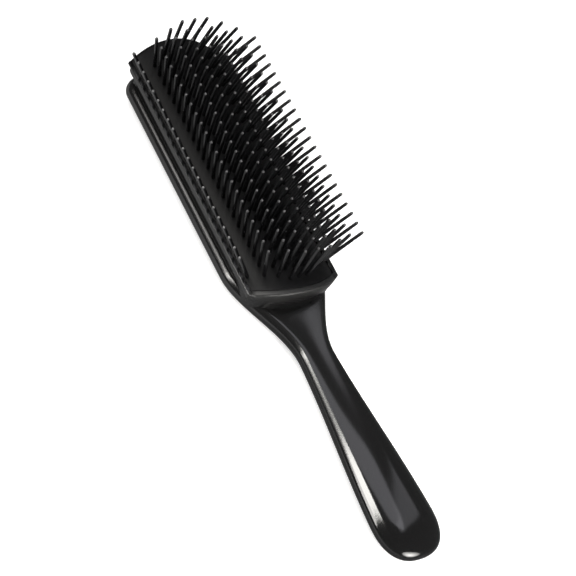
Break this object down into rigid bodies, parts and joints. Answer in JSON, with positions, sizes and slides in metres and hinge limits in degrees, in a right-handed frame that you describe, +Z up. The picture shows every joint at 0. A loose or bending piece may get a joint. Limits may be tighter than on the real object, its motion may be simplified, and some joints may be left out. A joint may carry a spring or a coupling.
{
  "type": "detangling brush",
  "caption": "Hand-held detangling brush: one-piece handle and grooved head, arched rubber pad that slides out over the tip, and rows of slim pins fanned across it.",
  "frame": {"origin": "on the flat of the head's back, under the middle of the pin field", "axes": "+X from the head to the butt of the handle, +Y across the head, +Z up along the middle pins"},
  "size_m": [0.2272, 0.0566, 0.0386],
  "materials": {
    "handle_gloss": "polished black moulding",
    "pad_rubber": "matt black rubber",
    "pin_nylon": "satin black nylon"
  },
  "bodies": {
    "handle": {"handle": "handle_gloss"},
    "pad": {"cushion_pad": "pad_rubber", "pin_row_1": "pin_nylon", "pin_row_2": "pin_nylon", "pin_row_3": "pin_nylon", "pin_row_4": "pin_nylon", "pin_row_5": "pin_nylon", "pin_row_6": "pin_nylon", "pin_row_7": "pin_nylon", "pin_row_8": "pin_nylon", "pin_row_9": "pin_nylon"}
  },
  "joints": [
    {"name": "pad_slide", "type": "slide", "parent": "handle", "child": "pad", "axis": [-1, 0, 0], "range_m": [0, 0.115]}
  ]
}
